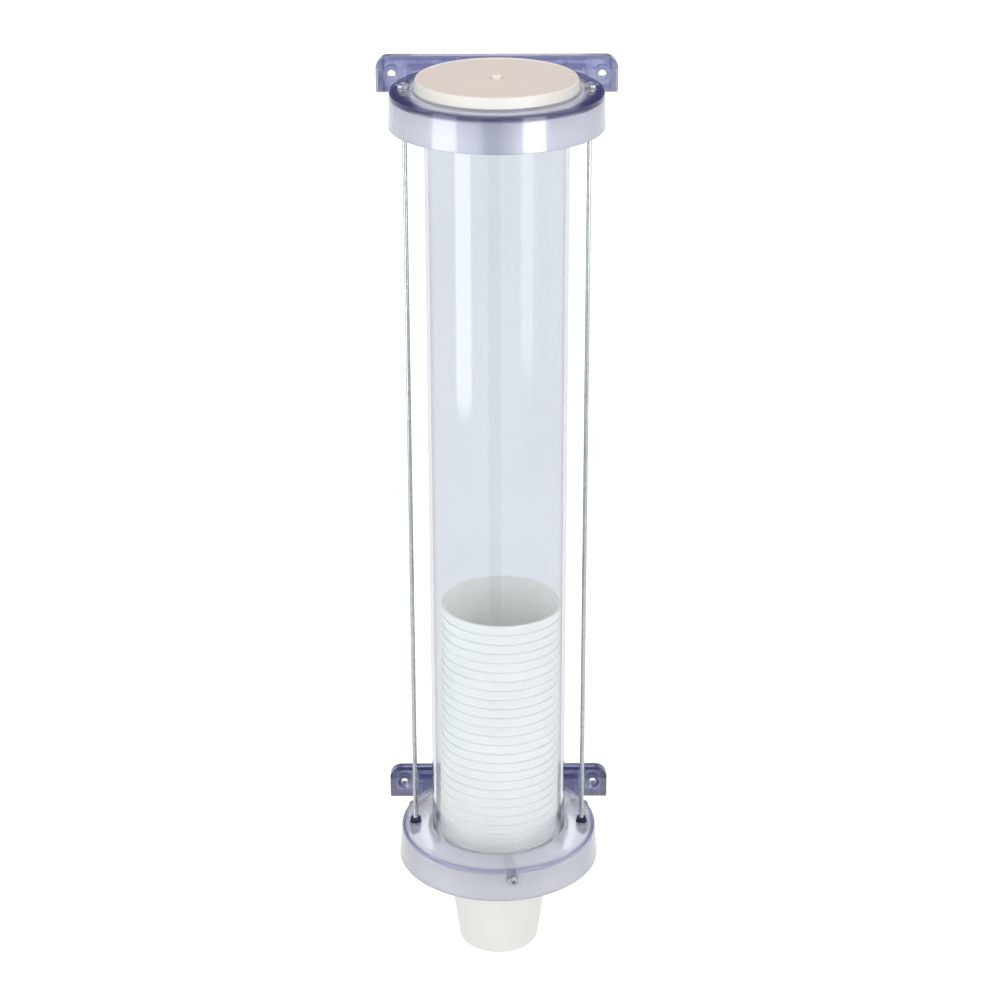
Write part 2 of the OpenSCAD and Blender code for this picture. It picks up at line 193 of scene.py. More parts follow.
@dataclass(frozen=True)
class Thread:
    """A real helical thread with a bevel of a given length at each end."""

    major: float
    depth: float
    bevel: float
    pitch: float = 0.5
    rows_per_turn: int = 5

    def rings(self, low: float, high: float, steps: int) -> list[Ring]:
        """Rings of the thread.

        Args:
            low: Height where it starts.
            high: Height where it ends.
            steps: Points in a ring.

        Returns:
            The rings from low to high.
        """
        rows = max(2, round((high - low) / self.pitch * self.rows_per_turn))
        rings: list[Ring] = []
        for row in range(rows + 1):
            z = low + (high - low) * row / rows
            edge = min(z - low, high - z)
            limit = self.major - self.depth * max(0.0, 1 - edge / self.bevel)

            def radius(angle: float, z: float = z, limit: float = limit) -> float:
                """Radius of the thread at one angle of this ring."""
                phase = (z / self.pitch - angle / math.tau) % 1.0
                return min(limit, self.major - self.depth * (1 - abs(2 * phase - 1)))

            rings.append(circle(radius, z, steps))
        return rings


def add_object(name: str, data: bpy.types.ID) -> Object:
    """Make an object of a mesh, lamp or camera and link it to the scene.

    Args:
        name: Name of the object.
        data: What it shows.

    Returns:
        The new object.
    """
    made = bpy.data.objects.new(name, data)
    bpy.context.scene.collection.objects.link(made)
    return made


def place(mesh: Mesh, matrix: Matrix, body: str, finish: Material) -> Object:
    """Make an object of a mesh, set it in the frame and let it ride on a body.

    Args:
        mesh: The mesh about its own origin, in metres.
        matrix: Where it goes.
        body: Body that it moves with.
        finish: Its material.

    Returns:
        The new object.
    """
    mesh.transform(matrix)
    mesh.materials.append(finish)
    piece = add_object(mesh.name, mesh)
    bpy.context.view_layer.update()
    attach(piece, body)
    log.info("%s rides on %s, %d faces", piece.name, body, len(mesh.polygons))
    return piece


def on_rod(side: Side, z: float) -> Matrix:
    """A place on a tie rod's axis, at a height in millimetres."""
    return Matrix.Translation((side.value * ROD_X * MM, AXIS_Y * MM, z * MM))


def radial(azimuth: float, radius: float, z: float) -> Matrix:
    """A place whose local Z points away from the tube's axis.

    Args:
        azimuth: Degrees from the front towards +X.
        radius: Distance of the origin from the tube's axis.
        z: Height of the origin.

    Returns:
        The matrix in metres.
    """
    turn = math.radians(azimuth)
    out = Vector((math.sin(turn), -math.cos(turn), 0.0))
    up = Vector((0.0, 0.0, 1.0))
    across = up.cross(out)
    matrix = Matrix((across, up, out)).transposed().to_4x4()
    matrix.translation = Vector((0.0, AXIS_Y * MM, z * MM)) + out * radius * MM
    return matrix


def radial_span(node: Object, azimuth: float) -> Span:
    """How far a solid reaches along one azimuth, in millimetres from the tube's axis.

    Args:
        node: The solid.
        azimuth: Degrees from the front towards +X.

    Returns:
        The least and the greatest distance.
    """
    turn = math.radians(azimuth)
    reach = [v.co.x * math.sin(turn) - (v.co.y - AXIS_Y * MM) * math.cos(turn) for v in node.data.vertices]
    return min(reach) / MM, max(reach) / MM


# Nodes of materials, lamps and the world


class Wiring:
    """Short calls that add nodes to one tree and fill their inputs."""

    def __init__(self, tree: Tree) -> None:
        """Keep the tree that gets the nodes."""
        self.tree = tree

    def fill(self, socket: Socket, value: Value) -> None:
        """Link a socket into an input, or set the input's own value.

        Args:
            socket: The input.
            value: A socket, or a number, vector or colour.
        """
        if isinstance(value, Socket):
            self.tree.links.new(value, socket)
        else:
            socket.default_value = (*value, 1.0) if socket.type == "RGBA" else value

    def fill_named(self, node: Node, values: dict[str, Value]) -> None:
        """Fill a node's inputs by name, with _ for a space."""
        for label, value in values.items():
            self.fill(node.inputs[label.replace("_", " ")], value)

    def node(self, kind: str, *values: Value, operation: str = "", **named: Value) -> Node:
        """Add a node and fill its inputs.

        Args:
            kind: Kind of node, without Blender's prefix.
            *values: What goes into its first inputs, in order.
            operation: What the node does, where it has a choice.
            **named: What goes into other inputs by name, with _ for a space.

        Returns:
            The node.
        """
        node = self.tree.nodes.new(f"ShaderNode{kind}")
        if operation:
            node.operation = operation
        for socket, value in zip(node.inputs, values):
            self.fill(socket, value)
        self.fill_named(node, named)
        return node

    def group(self, tree: Tree, **values: Value) -> Node:
        """Place a shared effect.

        Args:
            tree: The effect.
            **values: Its own values by name, with _ for a space.

        Returns:
            The node.
        """
        node = self.node("Group")
        node.node_tree = tree
        self.fill_named(node, values)
        return node

    def math(self, operation: str, *values: Value) -> Socket:
        """One step of arithmetic on sockets and numbers."""
        return self.node("Math", *values, operation=operation).outputs[0]

    def product(self, *values: Value) -> Socket:
        """Multiply masks and numbers in order."""
        return reduce(lambda so_far, value: self.math("MULTIPLY", so_far, value), values)

    def ramp(self, value: Socket, low: Value, high: Value, smooth: bool = True, **ends: Value) -> Socket:
        """Rise from 0 to 1 between two values.

        Args:
            value: Socket with the value.
            low: Where the mask is 0.
            high: Where it is 1.
            smooth: Whether it rises and ends softly.
            **ends: To_Min and To_Max, where they aren't 0 and 1.

        Returns:
            The socket with the mask.
        """
        node = self.node("MapRange", Value=value, From_Min=low, From_Max=high, **ends)
        if smooth:
            node.interpolation_type = "SMOOTHSTEP"
        return node.outputs["Result"]

    def place_at(self) -> Socket:
        """Where a point lies in the object, in metres."""
        return self.node("TexCoord").outputs["Object"]

    def noise(self, vector: Socket, scale: Socket, detail: float) -> Socket:
        """Noise from 0 to 1."""
        return self.node("TexNoise", Vector=vector, Scale=scale, Detail=detail).outputs["Fac"]

    def upward(self, low: float, high: float) -> Socket:
        """A mask of faces that look up, by the height of their normal."""
        normal = self.node("NewGeometry").outputs["Normal"]
        return self.ramp(self.node("SeparateXYZ", normal).outputs["Z"], low, high, smooth=False)


class Group(Wiring):
    """A shared effect under way, with float sockets."""

    def __init__(self, name: str, outputs: Sequence[str], **inputs: float) -> None:
        """Start the group.

        Args:
            name: Name of the group.
            outputs: Names of the outputs.
            **inputs: Default value of each input by name, with _ for a space.
        """
        super().__init__(bpy.data.node_groups.new(name, "ShaderNodeTree"))
        face = self.tree.interface
        for label, value in inputs.items():
            socket = face.new_socket(label.replace("_", " "), in_out="INPUT", socket_type="NodeSocketFloat")
            socket.default_value = value
        for label in outputs:
            face.new_socket(label, in_out="OUTPUT", socket_type="NodeSocketFloat")
        self.given = self.tree.nodes.new("NodeGroupInput").outputs
        self.result = self.tree.nodes.new("NodeGroupOutput")

    def finish(self, **values: Socket) -> Tree:
        """Fill the outputs by name and give the tree."""
        self.fill_named(self.result, values)
        return self.tree


class Effects:
    """Node groups that several finishes share, each built once."""

    def __init__(self) -> None:
        """Build the groups."""
        self.grain = self._grain()
        self.mottle = self._mottle()
        self.dust = self._dust()
        self.band = self._band()

    @staticmethod
    def _grain() -> Tree:
        """Fine grain stretched along an axis: a height and a roughness."""
        group = Group(
            "surface_grain", ("Height", "Roughness"),
            Size=900.0, Stretch_X=1.0, Stretch_Y=1.0, Stretch_Z=1.0, Roughness=0.3, Spread=0.1,
        )
        stretch = group.node("CombineXYZ", *(group.given[f"Stretch {axis}"] for axis in "XYZ"))
        scaled = group.node("VectorMath", group.place_at(), stretch.outputs[0], operation="MULTIPLY")
        height = group.noise(scaled.outputs[0], group.given["Size"], 4.0)
        centred = group.math("SUBTRACT", height, 0.5)
        swing = group.math("MULTIPLY_ADD", centred, group.given["Spread"], group.given["Roughness"])
        return group.finish(Height=height, Roughness=swing)

    @staticmethod
    def _mottle() -> Tree:
        """Slow, cloudy variation as a mask between two limits."""
        group = Group("slow_mottle", ("Mask",), Size=40.0, Low=0.0, High=1.0)
        noise = group.noise(group.place_at(), group.given["Size"], 2.0)
        low, high = group.given["Low"], group.given["High"]
        return group.finish(Mask=group.ramp(noise, 0.3, 0.7, smooth=False, To_Min=low, To_Max=high))

    @staticmethod
    def _dust() -> Tree:
        """A thin film on faces that look up, broken by noise."""
        group = Group("settled_dust", ("Mask",), Amount=0.2, Size=120.0)
        noise = group.noise(group.place_at(), group.given["Size"], 6.0)
        return group.finish(Mask=group.product(group.upward(0.6, 1.0), noise, group.given["Amount"]))

    @staticmethod
    def _band() -> Tree:
        """A mask that rises from 0 to 1 between two distances from the tube's axis and two heights."""
        group = Group(
            "rim_band", ("Mask",), Radius_From=0.055, Radius_To=0.058, Height_From=0.0, Height_To=0.001
        )
        point = group.place_at()
        moved = group.node("VectorMath", point, (0.0, AXIS_Y * MM, 0.0), operation="SUBTRACT")
        flat = group.node("VectorMath", moved.outputs[0], (1.0, 1.0, 0.0), operation="MULTIPLY")
        radius = group.node("VectorMath", flat.outputs[0], operation="LENGTH").outputs["Value"]
        height = group.node("SeparateXYZ", point).outputs["Z"]
        outward = group.ramp(radius, group.given["Radius From"], group.given["Radius To"])
        upward = group.ramp(height, group.given["Height From"], group.given["Height To"])
        return group.finish(Mask=group.product(outward, upward))


def empty_material(name: str) -> Material:
    """A material that has no nodes yet.

    Args:
        name: Name of the material.

    Returns:
        The material.
    """
    material = bpy.data.materials.new(name)
    material.use_nodes = True
    material.node_tree.nodes.clear()
    return material


class Shader(Wiring):
    """One material with its Principled shader, filled by short calls."""

    def __init__(self, name: str, effects: Effects) -> None:
        """Start the material.

        Args:
            name: Name of the material.
            effects: The shared groups.
        """
        self.effects = effects
        self.material = empty_material(name)
        super().__init__(self.material.node_tree)
        self.surface = self.node("BsdfPrincipled")
        self.output = self.node("OutputMaterial", Surface=self.surface.outputs[0])

    def set(self, **values: Value) -> None:
        """Fill the shader's own sockets by name, with _ for a space."""
        self.fill_named(self.surface, values)

    def mix(self, mask: Socket, first: Colour | Socket, second: Colour | Socket) -> Socket:
        """Mix two colours by a mask.

        Args:
            mask: Where the second colour shows.
            first: Colour, or a socket that gives it.
            second: Colour, or a socket that gives it.

        Returns:
            The socket with the mixed colour.
        """
        node = self.node("Mix", mask)
        node.data_type = "RGBA"
        for socket, value in zip((s for s in node.inputs if s.type == "RGBA"), (first, second)):
            self.fill(socket, value)
        return next(s for s in node.outputs if s.type == "RGBA")

    def lay(self, base: Colour | Socket, *layers: tuple[Socket, Colour | Socket]) -> Socket:
        """Lay colours over a base in order, each where its mask shows it."""
        return reduce(lambda below, layer: self.mix(layer[0], below, layer[1]), layers, base)

    def grain(
        self, size: float, roughness: float, spread: float, worked: Grain = Grain.PLAIN
    ) -> tuple[Socket, Socket]:
        """Place the fine grain.

        Args:
            size: Fineness of the grain.
            roughness: Mean roughness.
            spread: How far the roughness swings.
            worked: How the surface was worked.

        Returns:
            The sockets of the grain's height and roughness.
        """
        stretch = dict(zip(("Stretch_X", "Stretch_Y", "Stretch_Z"), worked.value))
        node = self.group(self.effects.grain, Size=size, Roughness=roughness, Spread=spread, **stretch)
        return node.outputs["Height"], node.outputs["Roughness"]

    def mottle(self, size: float, high: float) -> Socket:
        """A cloudy mask from 0 to a limit."""
        return self.group(self.effects.mottle, Size=size, Low=0.0, High=high).outputs["Mask"]

    def rise(self, value: Socket, span: Span) -> Socket:
        """A mask that goes from 0 to 1 between two places in millimetres."""
        return self.ramp(value, span[0] * MM, span[1] * MM)

    def grazing(self, power: float) -> Socket:
        """A mask of what is seen at a flat angle."""
        return self.math("POWER", self.node("LayerWeight", Blend=0.5).outputs["Facing"], power)

    def bump(self, height: Socket, depth: float, strength: float, sunk: bool = False) -> None:
        """Add a relief to the shader's normal.

        Args:
            height: Socket with the height.
            depth: Depth of the relief in millimetres.
            strength: Share of the relief that shows.
            sunk: Whether the relief goes inwards.
        """
        node = self.node("Bump", Height=height, Distance=depth * MM, Strength=strength)
        node.invert = sunk
        for link in self.surface.inputs["Normal"].links:
            self.fill(node.inputs["Normal"], link.from_socket)
        self.set(Normal=node.outputs[0])

    def absorb(self, colour: Colour, density: float) -> None:
        """Let light lose itself inside the solid, down to a colour, by a loss for each metre."""
        node = self.node("VolumeAbsorption", Color=colour, Density=density)
        self.fill(self.output.inputs["Volume"], node.outputs[0])


# Finishes


@dataclass(frozen=True)
class Band:
    """A mask that goes round the tube's axis.

    It goes from 0 to 1 between two distances from the axis, and between two depths below the
    top of a bracket's deck.
    """

    radii: Span
    drops: Span

    def mask(self, shader: Shader, top_z: float) -> Socket:
        """The mask on one bracket.

        Args:
            shader: The material under way.
            top_z: Height of the deck's top.

        Returns:
            The socket with the mask.
        """
        near, far = (radius * MM for radius in self.radii)
        low, high = ((top_z - drop) * MM for drop in self.drops)
        return shader.group(
            shader.effects.band, Radius_From=near, Radius_To=far, Height_From=low, Height_To=high
        ).outputs["Mask"]


@dataclass(frozen=True)
class Finish:
    """A named finish, which each kind of material fills in its own way."""

    name: str

    def paint(self, shader: Shader) -> None:
        """Fill the shader of the material."""
        raise NotImplementedError


@dataclass(frozen=True)
class Tints:
    """The colours that one tinted moulding shows by place, some of them painted light and shade."""

    skirt: Colour
    deck: Colour
    # inner: painted light, a lighter tone that lifts the shade inside the skirt.
    inner: Colour
    # rim: dark navy, used as painted shade on the deck's rim band and side lobes, as a painted dark
    # reflection down the skirt's front, and on the plate's end walls.
    rim: Colour
    neck: Colour
    plate: Colour
    plate_side: Colour
    plate_edge: Colour
    hole: Colour
    # outline: painted edge shade where the surface is seen at a flat angle.
    outline: Colour


@dataclass(frozen=True)
class TintedPlastic(Finish):
    """Clear lavender moulding whose rim, neck and wall plate read darker; its rim band and side lobes are
    painted shade, a strip down the front is a painted dark reflection, its inner edge is painted light and
    its grazing edges are painted edge shade.

    A span holds where its mask is 0 and where it is 1: distances from the middle, or places
    along Y.
    """

    top_z: float
    plate_z: float
    tints: Tints
    rim: Band
    neck: Span
    rim_shade_strength: float
    lobe_shade_strength: float
    dark_reflection_strength: float
    loss: float
    inner: Band = Band((55.6, 54.2), (2.9, 3.3))
    deck: Band = Band((59.4, 58.6), (3.4, 3.0))
    lobe: Band = Band((47.0, 51.5), (3.6, 2.9))
    skirt: Band = Band((56.0, 57.6), (1.4, 3.0))
    satin: Band = Band((54.8, 56.4), (2.2, 4.2))
    beyond: Band = Band((58.9, 59.6), (30.0, 29.0))
    dished: Band = Band((52.5, 58.8), (30.0, 29.0))
    lobe_sides: Span = (38.0, 47.0)
    skirt_front: Span = (-112.0, -122.0)
    dark_reflection_width: Span = (13.0, 5.0)
    plate_start: Span = (-6.6, -6.1)
    plate_face: Span = (-4.0, -5.6)
    plate_back: Span = (-1.5, -0.3)
    border_height: Span = (8.9, 10.0)
    border_width: Span = (66.5, 67.7)
    hole_x: float = 59.5
    hole_ring: Span = (6.4, 2.6)
    end_wall_x: float = 63.9
    end_wall: Span = (1.1, 0.2)
    edge_shade_power: float = 2.2
    end_wall_strength: float = 0.7
    border_strength: float = 0.8
    satin_roughness: float = 0.34

    def _ring_colour(self, shader: Shader, aside: Socket, depth: Socket) -> Socket:
        """The colour of the ring: skirt, a painted dark reflection down the front, painted light at the
        inner edge, deck, painted shade on the lobes and rim, and neck.

        Args:
            shader: The material under way.
            aside: Socket with the distance from the middle.
            depth: Socket with the place along Y.

        Returns:
            The socket with the colour.
        """
        tints = self.tints
        inner, deck, rim, lobe, skirt, beyond = (
            band.mask(shader, self.top_z)
            for band in (self.inner, self.deck, self.rim, self.lobe, self.skirt, self.beyond)
        )
        front = shader.rise(depth, self.skirt_front)
        dark_reflection = shader.rise(aside, self.dark_reflection_width)
        return shader.lay(
            tints.skirt,
            (shader.mottle(30.0, 0.35), dimmed(tints.skirt, 0.94)),
            # Painted dark reflection: a thin upright strip down the middle of the skirt's front.
            (shader.product(skirt, front, dark_reflection, self.dark_reflection_strength), tints.rim),
            # Painted edge shade: the skirt greys where it is seen at a flat angle.
            (shader.product(skirt, shader.grazing(self.edge_shade_power)), tints.outline),
            # Painted light: the inner edge under the deck gets a lighter tone to lift its shade.
            (inner, tints.inner),
            (deck, tints.deck),
            # Painted shade: the deck's sides beside the rods turn dark navy.
            (shader.product(lobe, shader.rise(aside, self.lobe_sides), self.lobe_shade_strength), tints.rim),
            # Painted shade: the dark navy band along the deck's edge.
            (shader.product(rim, self.rim_shade_strength), tints.rim),
            (shader.product(beyond, shader.rise(depth, self.neck)), tints.neck),
        )

    def _plate_colour(self, shader: Shader, aside: Socket, height: Socket) -> Socket:
        """The colour of the wall plate's face: clouds, end walls, screw holes and border.

        Args:
            shader: The material under way.
            aside: Socket with the distance from the middle.
            height: Socket with the height.

        Returns:
            The socket with the colour.
        """
        tints = self.tints
        above = shader.math("SUBTRACT", height, self.plate_z * MM)
        past_hole = shader.math("SUBTRACT", aside, self.hole_x * MM)
        square = shader.math("ADD", shader.math("POWER", past_hole, 2.0), shader.math("POWER", above, 2.0))
        from_wall = shader.math("ABSOLUTE", shader.math("SUBTRACT", aside, self.end_wall_x * MM))
        border = shader.math(
            "MAXIMUM",
            shader.rise(shader.math("ABSOLUTE", above), self.border_height),
            shader.rise(aside, self.border_width),
        )
        return shader.lay(
            tints.plate,
            (shader.mottle(210.0, 0.45), tints.plate_side),
            (shader.product(shader.rise(from_wall, self.end_wall), self.end_wall_strength), tints.rim),
            (shader.rise(shader.math("SQRT", square), self.hole_ring), tints.hole),
            (shader.product(border, self.border_strength), tints.plate_edge),
        )

    def _colour(self, shader: Shader) -> Socket:
        """The colour by place, from the ring to the back of the wall plate.

        Args:
            shader: The material under way.

        Returns:
            The socket with the colour.
        """
        x, depth, height = shader.node("SeparateXYZ", shader.place_at()).outputs
        aside = shader.math("ABSOLUTE", x)
        plate = shader.rise(depth, self.plate_start)
        face = shader.product(plate, shader.rise(depth, self.plate_face))
        back = shader.rise(depth, self.plate_back)
        return shader.lay(
            self._ring_colour(shader, aside, depth),
            (plate, shader.mix(back, self.tints.plate_side, self.tints.plate_edge)),
            (face, self._plate_colour(shader, aside, height)),
        )

    def paint(self, shader: Shader) -> None:
        """Fill the shader.

        Args:
            shader: The material under way.
        """
        shader.set(Transmission_Weight=0.7, IOR=1.49, Metallic=0.0, Coat_Roughness=0.11, Coat_IOR=1.75)
        height, polish = shader.grain(260.0, 0.08, 0.05)
        satin = self.satin.mask(shader, self.top_z)
        roughness = shader.math("ADD", shader.product(satin, self.satin_roughness), polish)
        shader.set(Base_Color=self._colour(shader), Coat_Weight=satin, Roughness=roughness)
        shader.bump(height, 0.05, 0.12)
        shader.bump(self.dished.mask(shader, self.top_z), 1.2, 1.0, sunk=True)
        shader.absorb((0.42, 0.42, 0.68), self.loss)


@dataclass(frozen=True)
class ClearTube(Finish):
    """Extruded clear tube with faint draw lines and painted edge shade that greys it where it is seen at a
    flat angle.
    """

    tint: Colour
    # Painted edge shade where the tube is seen at a flat angle.
    outline: Colour
    loss: float

    def paint(self, shader: Shader) -> None:
        """Fill the shader.

        Args:
            shader: The material under way.
        """
        shader.set(Transmission_Weight=1.0, IOR=1.45, Metallic=0.0)
        height, roughness = shader.grain(180.0, 0.06, 0.06, Grain.EXTRUDED)
        colour = shader.lay(
            self.tint,
            (shader.mottle(14.0, 0.6), dimmed(self.tint, 0.965)),
            # Painted edge shade: the tube turns greyer where it is seen at a flat angle.
            (shader.grazing(5.0), self.outline),
        )
        shader.set(Base_Color=colour, Roughness=roughness)
        shader.bump(height, 0.04, 0.1)
        shader.absorb((0.6, 0.62, 0.72), self.loss)


@dataclass(frozen=True)
class SatinPlastic(Finish):
    """Opaque moulded plastic with its own colour on faces that look up."""

    side: Colour
    top: Colour
    roughness: float
    glow: float
    grain_size: float
    relief: float
    dust: float = 0.0

    def paint(self, shader: Shader) -> None:
        """Fill the shader.

        Args:
            shader: The material under way.
        """
        shader.set(IOR=1.46, Subsurface_Weight=self.glow)
        shader.set(Subsurface_Radius=(1.0, 1.0, 0.95), Subsurface_Scale=0.0012)
        height, roughness = shader.grain(self.grain_size, self.roughness, 0.12)
        film = shader.group(shader.effects.dust, Amount=self.dust, Size=160.0).outputs["Mask"]
        colour = shader.lay(
            self.side,
            (shader.upward(0.55, 0.9), self.top),
            (shader.mottle(28.0, 0.5), dimmed(self.top, 0.97)),
            (film, srgb(214, 208, 200)),
        )
        shader.set(Base_Color=colour, Roughness=roughness)
        shader.bump(height, self.relief, 0.35)


@dataclass(frozen=True)
class BareMetal(Finish):
    """Drawn, turned or plated metal with handling marks."""

    colour: Colour
    worn: Colour
    roughness: float
    grain: Grain = Grain.TURNED

    def paint(self, shader: Shader) -> None:
        """Fill the shader.

        Args:
            shader: The material under way.
        """
        height, roughness = shader.grain(1600.0, self.roughness, 0.22, self.grain)
        colour = shader.mix(shader.mottle(420.0, 0.8), self.colour, self.worn)
        shader.set(Metallic=1.0, Base_Color=colour, Roughness=roughness)
        shader.bump(height, 0.01, 0.3)


# The rim tones are painted shade, the inner tones painted light and the outline tones painted edge shade.
UPPER_TINTS = Tints(
    skirt=srgb(218, 221, 234),
    deck=srgb(234, 236, 245),
    inner=srgb(242, 244, 249),
    rim=srgb(60, 60, 114),
    neck=srgb(174, 178, 214),
    plate=srgb(106, 110, 164),
    plate_side=srgb(190, 195, 226),
    plate_edge=srgb(140, 143, 174),
    hole=srgb(178, 188, 222),
    outline=srgb(120, 122, 146),
)
LOWER_TINTS = Tints(
    skirt=srgb(205, 208, 216),
    deck=srgb(238, 240, 246),
    inner=srgb(242, 244, 248),
    rim=srgb(134, 136, 172),
    neck=srgb(120, 122, 170),
    plate=srgb(76, 80, 130),
    plate_side=srgb(150, 154, 196),
    plate_edge=srgb(30, 30, 62),
    hole=srgb(140, 142, 196),
    outline=srgb(104, 106, 122),
)
CUP_WHITE = srgb(231, 231, 225)
TIP_WHITE = srgb(214, 214, 206)

RECIPES = (
    TintedPlastic(
        "upper_bracket_tint", top_z=234.3, plate_z=228.0, tints=UPPER_TINTS,
        rim=Band((53.4, 57.5), (4.0, 1.4)), neck=(-45.0, -30.0),
        rim_shade_strength=0.93, lobe_shade_strength=0.9, dark_reflection_strength=0.24, loss=22.0,
    ),
    TintedPlastic(
        "lower_bracket_tint", top_z=-221.7, plate_z=-228.0, tints=LOWER_TINTS,
        rim=Band((54.8, 57.6), (3.4, 1.4)), neck=(-34.0, -22.0),
        rim_shade_strength=0.8, lobe_shade_strength=0.2, dark_reflection_strength=0.0, loss=12.0,
    ),
    ClearTube("clear_tube", tint=srgb(229, 232, 236), outline=srgb(150, 154, 164), loss=16.0),
    SatinPlastic(
        "cap_cream", side=srgb(241, 243, 238), top=srgb(232, 218, 207),
        roughness=0.42, glow=0.1, grain_size=700.0, relief=0.03, dust=0.1,
    ),
    SatinPlastic(
        "cup_white", side=CUP_WHITE, top=CUP_WHITE, roughness=0.4, glow=0.08, grain_size=500.0, relief=0.015
    ),
    SatinPlastic(
        "soft_tip", side=TIP_WHITE, top=TIP_WHITE, roughness=0.55, glow=0.2, grain_size=1500.0, relief=0.03
    ),
    BareMetal("drawn_steel", srgb(180, 187, 185), srgb(156, 165, 163), roughness=0.24, grain=Grain.DRAWN),
    BareMetal("bright_zinc", srgb(226, 229, 232), srgb(196, 202, 210), roughness=0.16),
    BareMetal("grey_zinc", srgb(172, 174, 178), srgb(134, 137, 144), roughness=0.34),
    BareMetal("dull_steel", srgb(76, 80, 108), srgb(52, 56, 86), roughness=0.3),
    BareMetal("turned_brass", srgb(205, 172, 104), srgb(170, 138, 80), roughness=0.28),
)


@dataclass
class Finishes:
    """Every material of the dispenser."""

    effects: Effects = field(default_factory=Effects)
    made: dict[str, Material] = field(default_factory=dict)

    def build(self) -> None:
        """Make each finish once and keep it by name."""
        for recipe in RECIPES:
            shader = Shader(recipe.name, self.effects)
            recipe.paint(shader)
            self.made[recipe.name] = shader.material
            log.info("finish %s", recipe.name)

    def get(self, name: str) -> Material:
        """The material of that name."""
        return self.made[name]

    def dress(self, node: Object, name: str) -> None:
        """Give a solid its finish in place of its plain colour.

        Args:
            node: The solid.
            name: Name of the finish.
        """
        node.data.materials.clear()
        node.data.materials.append(self.get(name))
        log.info("%s wears %s", node.name, name)


# Sub-assemblies


@dataclass
class Shell:
    """Brackets, tube and cap, which keep their solids."""

    wear: dict[str, str] = field(default_factory=lambda: {
        "upper_bracket": "upper_bracket_tint",
        "lower_bracket": "lower_bracket_tint",
        "tube": "clear_tube",
        "cap": "cap_cream",
    })

    def dress(self, nodes: Nodes, finishes: Finishes) -> None:
        """Give each solid its finish."""
        for node, finish in self.wear.items():
            finishes.dress(nodes[node], finish)


@dataclass
class CupColumn:
    """The nested cups, which keep their solids."""

    count: int = 26
    finish: str = "cup_white"

    def dress(self, nodes: Nodes, finishes: Finishes) -> None:
        """Give each cup its finish."""
        for number in range(1, self.count + 1):
            finishes.dress(nodes[f"cup_{number:02d}"], self.finish)


@dataclass
class TieRods:
    """Two drawn rods with threaded ends."""

    thread: Thread = Thread(major=1.5, depth=0.27, bevel=0.5)
    thread_length: float = 18.0
    shank_radius: float = 1.3
    shank_taper: float = 0.3
    steps: int = 20

    def rod(self, low: float, high: float) -> list[Ring]:
        """One rod along Z between two heights.

        Args:
            low: Lowest height.
            high: Highest height.

        Returns:
            Its rings.
        """
        first, last = low + self.thread_length, high - self.thread_length
        shank = [(self.shank_radius, z) for z in (first + self.shank_taper, last - self.shank_taper)]
        lower, upper = (self.thread.rings(*ends, self.steps) for ends in ((low, first), (last, high)))
        return lower + turned(shank, self.steps) + upper

    def build(self, finishes: Finishes) -> None:
        """Make both rods in place of their solids.

        Args:
            finishes: The materials.
        """
        for side in Side:
            node = f"tie_rod_{side.name.lower()}"
            low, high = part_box(node)
            mesh = build_mesh(f"{node}_threaded", self.rod(low.z / MM, high.z / MM))
            piece = place(mesh, on_rod(side, 0.0), "root", finishes.get("drawn_steel"))
            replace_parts(piece, node)


@dataclass
class RodFasteners:
    """Nuts and washers on the rods."""

    across: float = 5.5
    face_share: float = 0.93
    bevel: float = math.radians(30)
    least_bevel: float = 0.02
    bore: float = 1.56
    chamfer: float = 0.25
    washer_radius: float = 3.5
    washer_play: float = 0.1
    washer_ease: float = 0.3
    left_turn: float = 11.0
    right_turn: float = 34.0
    steps: int = 48

    def nut(self, height: float) -> list[Ring]:
        """A bevelled hexagon nut with its underside at 0.

        Args:
            height: Its height.

        Returns:
            Its rings.
        """
        outline = hexagon(self.across)
        flat = self.across / 2 * self.face_share
        mouth = self.bore + self.chamfer

        def rise(angle: float) -> float:
            """Height of the bevel at one angle."""
            return max(self.least_bevel, (outline(angle) - flat) * math.tan(self.bevel))

        profile = (
            (mouth, 0.0), (flat, 0.0), (outline, rise), (outline, lambda angle: height - rise(angle)),
            (flat, height), (mouth, height), (self.bore, height - self.chamfer), (self.bore, self.chamfer),
        )
        return turned(profile, self.steps)

    def washer(self, height: float) -> list[Ring]:
        """A stamped washer with eased edges and its underside at 0.

        Args:
            height: Its thickness.

        Returns:
            Its rings.
        """
        ease = height * self.washer_ease
        rim = self.washer_radius
        hole = self.bore + self.washer_play
        profile = (
            (hole, 0.0), (rim - ease / 2, 0.0), (rim, ease / 2), (rim, height - ease),
            (rim - ease, height), (hole + ease, height), (hole, height - ease),
        )
        return turned(profile, self.steps)

    def build(self, finishes: Finishes) -> None:
        """Make every nut and washer in place of its solid.

        Args:
            finishes: The materials.
        """
        for level, slot, finish in (
            ("top", "bright_hardware", "bright_zinc"),
            ("lock", "dark_hardware", "dull_steel"),
            ("bottom", "dark_hardware", "dull_steel"),
        ):
            for kind, maker in (("nut", self.nut), ("washer", self.washer)):
                node = f"{level}_{kind}s"
                low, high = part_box(node)
                for side, angle in ((Side.LEFT, self.left_turn), (Side.RIGHT, self.right_turn)):
                    name = f"{level}_{kind}_{side.name.lower()}"
                    mesh = build_mesh(name, maker((high.z - low.z) / MM), closed=True)
                    spot = on_rod(side, low.z / MM) @ Matrix.Rotation(math.radians(angle), 4, "Z")
                    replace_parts(place(mesh, spot, "root", finishes.get(finish)), node)


